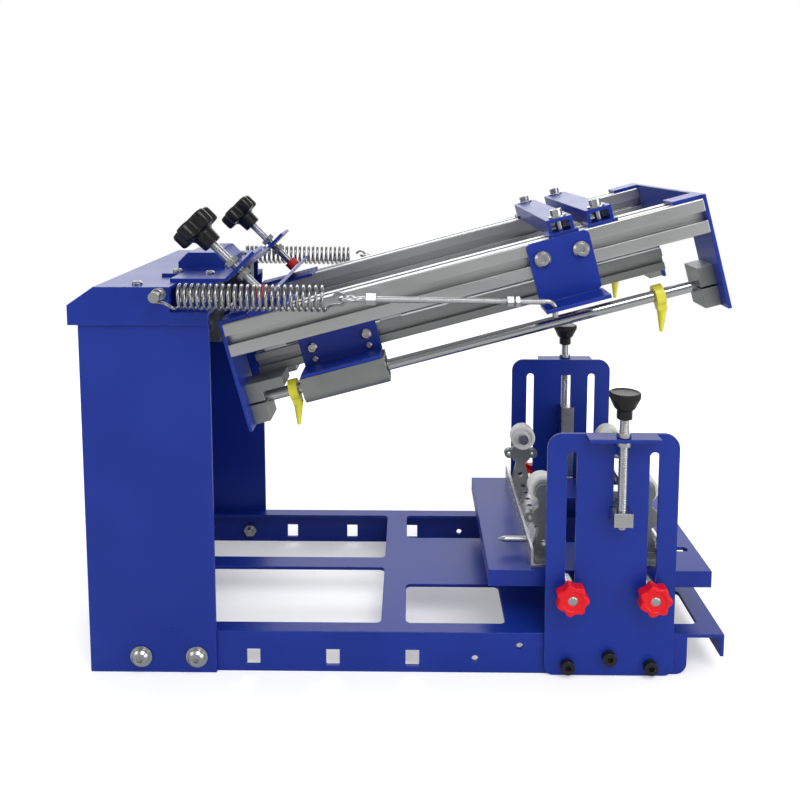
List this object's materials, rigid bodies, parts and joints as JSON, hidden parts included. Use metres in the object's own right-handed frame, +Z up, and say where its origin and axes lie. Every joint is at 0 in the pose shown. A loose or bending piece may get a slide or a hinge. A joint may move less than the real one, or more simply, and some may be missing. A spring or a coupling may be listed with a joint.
{
  "type": "curved screen printing press",
  "caption": "Bench press for screen printing round objects: sprung tilting head on a column, sliding screen carriage on rods, and a lift table with rollers between slotted jig plates.",
  "frame": {"origin": "on the bench under the middle of the press's bounding box", "axes": "+X along the base from the column to the rollers, +Y away from the operator, +Z up"},
  "size_m": [0.5624, 0.2984, 0.4212],
  "materials": {
    "blue_paint": "satin blue powder coat",
    "aluminium": "natural anodised",
    "cast_aluminium": "cast and lightly blasted",
    "chrome": "ground and hard chromed",
    "steel": "zinc plated",
    "spring_steel": "bright wire",
    "bronze": "plain",
    "black_oxide": "black oxide",
    "black_plastic": "moulded black",
    "red_plastic": "moulded red",
    "yellow_plastic": "yellow",
    "red_rubber": "red rubber",
    "nylon": "white nylon"
  },
  "bodies": {
    "frame": {"base_frame": "blue_paint", "column_shell": "blue_paint", "column_cap": "blue_paint", "foot_bolts": "steel", "hinge_blocks": "cast_aluminium", "hinge_shaft": "steel", "cap_screws": "steel", "stop_bracket": "blue_paint", "spring_anchors": "steel", "jig_bolts": "black_oxide", "front_jig_plate": "blue_paint", "rear_jig_plate": "blue_paint"},
    "head": {"front_beam": "aluminium", "rear_beam": "aluminium", "left_end_plate": "blue_paint", "right_end_plate": "blue_paint", "rod_supports": "cast_aluminium", "guide_rods": "chrome", "stop_collars": "yellow_plastic", "hinge_cheeks": "blue_paint", "hinge_bushes": "bronze", "strike_bar": "blue_paint", "spring_brackets": "blue_paint", "head_screws": "steel", "squeegee_bars": "blue_paint"},
    "carriage": {"carriage_rails": "aluminium", "bearing_housings": "cast_aluminium", "ball_bushings": "steel", "tie_brackets": "blue_paint", "tie_bracket_screws": "steel", "carriage_cross_bars": "aluminium"},
    "table": {"lift_table": "blue_paint", "lift_nuts": "steel", "lock_studs": "steel", "roller_rails": "steel", "roller_brackets": "cast_aluminium", "roller_axles": "steel", "locating_pin": "steel"},
    "front_jack": {"front_jack_knob": "black_plastic", "front_jack_screw": "steel"},
    "front_stop": {"front_stop_knob": "black_plastic", "front_stop_stud": "steel", "front_stop_bumper": "red_rubber"},
    "front_spring": {"front_spring": "spring_steel"},
    "front_pull": {"front_pull_rod": "steel"},
    "front_left_lock_knob": {"front_left_lock_knob": "red_plastic"},
    "front_left_roller": {"front_left_roller": "nylon"},
    "front_right_lock_knob": {"front_right_lock_knob": "red_plastic"},
    "front_right_roller": {"front_right_roller": "nylon"},
    "rear_jack": {"rear_jack_knob": "black_plastic", "rear_jack_screw": "steel"},
    "rear_stop": {"rear_stop_knob": "black_plastic", "rear_stop_stud": "steel", "rear_stop_bumper": "red_rubber"},
    "rear_spring": {"rear_spring": "spring_steel"},
    "rear_pull": {"rear_pull_rod": "steel"},
    "rear_left_lock_knob": {"rear_left_lock_knob": "red_plastic"},
    "rear_left_roller": {"rear_left_roller": "nylon"},
    "rear_right_lock_knob": {"rear_right_lock_knob": "red_plastic"},
    "rear_right_roller": {"rear_right_roller": "nylon"}
  },
  "joints": [
    {"name": "head_tilt", "type": "hinge", "parent": "frame", "child": "head", "pos_m": [-0.17575, 0, 0.3], "axis": [0, 1, 0], "range_deg": [0, 15], "stiffness_Nm_per_rad": 18, "springref_deg": -57.3},
    {"name": "carriage_slide", "type": "slide", "parent": "head", "child": "carriage", "axis": [0.9659, 0, 0.2588], "range_m": [0, 0.24]},
    {"name": "table_lift", "type": "slide", "parent": "frame", "child": "table", "axis": [0, 0, 1], "range_m": [0, 0.034]},
    {"name": "front_jack_turn", "type": "hinge", "parent": "frame", "child": "front_jack", "pos_m": [0.18625, -0.1305, 0.243], "axis": [0, 0, 1], "range_deg": [0, 4085]},
    {"name": "front_stop_turn", "type": "hinge", "parent": "frame", "child": "front_stop", "pos_m": [-0.14445, -0.09, 0.3542], "axis": [0.7071, 0, -0.7071], "continuous": true},
    {"name": "front_spring_swing", "type": "hinge", "parent": "frame", "child": "front_spring", "pos_m": [-0.20175, -0.138, 0.338], "axis": [0, 1, 0], "range_deg": [0, 14]},
    {"name": "front_pull_slide", "type": "slide", "parent": "front_spring", "child": "front_pull", "axis": [0.9999, 0, -0.0116], "range_m": [0, 0.0095], "deforming": ["front_spring"]},
    {"name": "front_left_lock_turn", "type": "hinge", "parent": "table", "child": "front_left_lock_knob", "pos_m": [0.14525, -0.131, 0.077], "axis": [0, -1, 0], "continuous": true},
    {"name": "front_left_roller_spin", "type": "hinge", "parent": "table", "child": "front_left_roller", "pos_m": [0.12925, -0.066, 0.147], "axis": [0, 1, 0], "continuous": true},
    {"name": "front_right_lock_turn", "type": "hinge", "parent": "table", "child": "front_right_lock_knob", "pos_m": [0.21525, -0.131, 0.077], "axis": [0, -1, 0], "continuous": true},
    {"name": "front_right_roller_spin", "type": "hinge", "parent": "table", "child": "front_right_roller", "pos_m": [0.22225, -0.066, 0.147], "axis": [0, 1, 0], "continuous": true},
    {"name": "rear_jack_turn", "type": "hinge", "parent": "frame", "child": "rear_jack", "pos_m": [0.18625, 0.1305, 0.243], "axis": [0, 0, 1], "range_deg": [0, 4085]},
    {"name": "rear_stop_turn", "type": "hinge", "parent": "frame", "child": "rear_stop", "pos_m": [-0.14445, 0.09, 0.3542], "axis": [0.7071, 0, -0.7071], "continuous": true},
    {"name": "rear_spring_swing", "type": "hinge", "parent": "frame", "child": "rear_spring", "pos_m": [-0.20175, 0.138, 0.338], "axis": [0, 1, 0], "range_deg": [0, 14]},
    {"name": "rear_pull_slide", "type": "slide", "parent": "rear_spring", "child": "rear_pull", "axis": [0.9999, 0, -0.0116], "range_m": [0, 0.0095], "deforming": ["rear_spring"]},
    {"name": "rear_left_lock_turn", "type": "hinge", "parent": "table", "child": "rear_left_lock_knob", "pos_m": [0.14525, 0.131, 0.077], "axis": [0, 1, 0], "continuous": true},
    {"name": "rear_left_roller_spin", "type": "hinge", "parent": "table", "child": "rear_left_roller", "pos_m": [0.12925, 0.066, 0.147], "axis": [0, 1, 0], "continuous": true},
    {"name": "rear_right_lock_turn", "type": "hinge", "parent": "table", "child": "rear_right_lock_knob", "pos_m": [0.21525, 0.131, 0.077], "axis": [0, 1, 0], "continuous": true},
    {"name": "rear_right_roller_spin", "type": "hinge", "parent": "table", "child": "rear_right_roller", "pos_m": [0.22225, 0.066, 0.147], "axis": [0, 1, 0], "continuous": true}
  ],
  "couplings": [
    {"joint": "front_jack_turn", "follows": "table_lift", "rad_per_m": 2094.4},
    {"joint": "front_spring_swing", "follows": "head_tilt", "ratio": 0.9077},
    {"joint": "front_pull_slide", "follows": "head_tilt", "m_per_rad": 0.034198},
    {"joint": "rear_jack_turn", "follows": "table_lift", "rad_per_m": 2094.4},
    {"joint": "rear_spring_swing", "follows": "head_tilt", "ratio": 0.9077},
    {"joint": "rear_pull_slide", "follows": "head_tilt", "m_per_rad": 0.034198}
  ]
}
